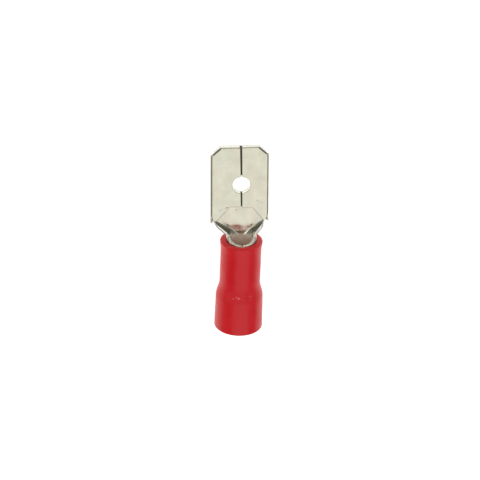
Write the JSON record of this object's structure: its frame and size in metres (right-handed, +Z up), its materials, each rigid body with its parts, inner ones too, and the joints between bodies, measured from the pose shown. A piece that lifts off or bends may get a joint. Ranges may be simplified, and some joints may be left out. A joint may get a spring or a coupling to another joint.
{
  "type": "insulated male spade terminal",
  "caption": "Flat folded-sheet spade tab with a lock hole, chamfered tip and rolled wire barrel, in a short stepped red insulating sleeve.",
  "frame": {"origin": "middle of the part's footprint, on the surface it lies on", "axes": "+Y towards the tip of the tab, +Z up from the surface, the seam side of the tab facing up"},
  "size_m": [0.0064, 0.0216, 0.0056],
  "materials": {
    "tinned_brass": "bright tin plating on rolled brass sheet, satin, light warm grey",
    "red_pvc": "injection moulded soft PVC, red, satin gloss"
  },
  "bodies": {
    "root": {"tab_terminal": "tinned_brass", "insulating_sleeve": "red_pvc"}
  },
  "joints": []
}
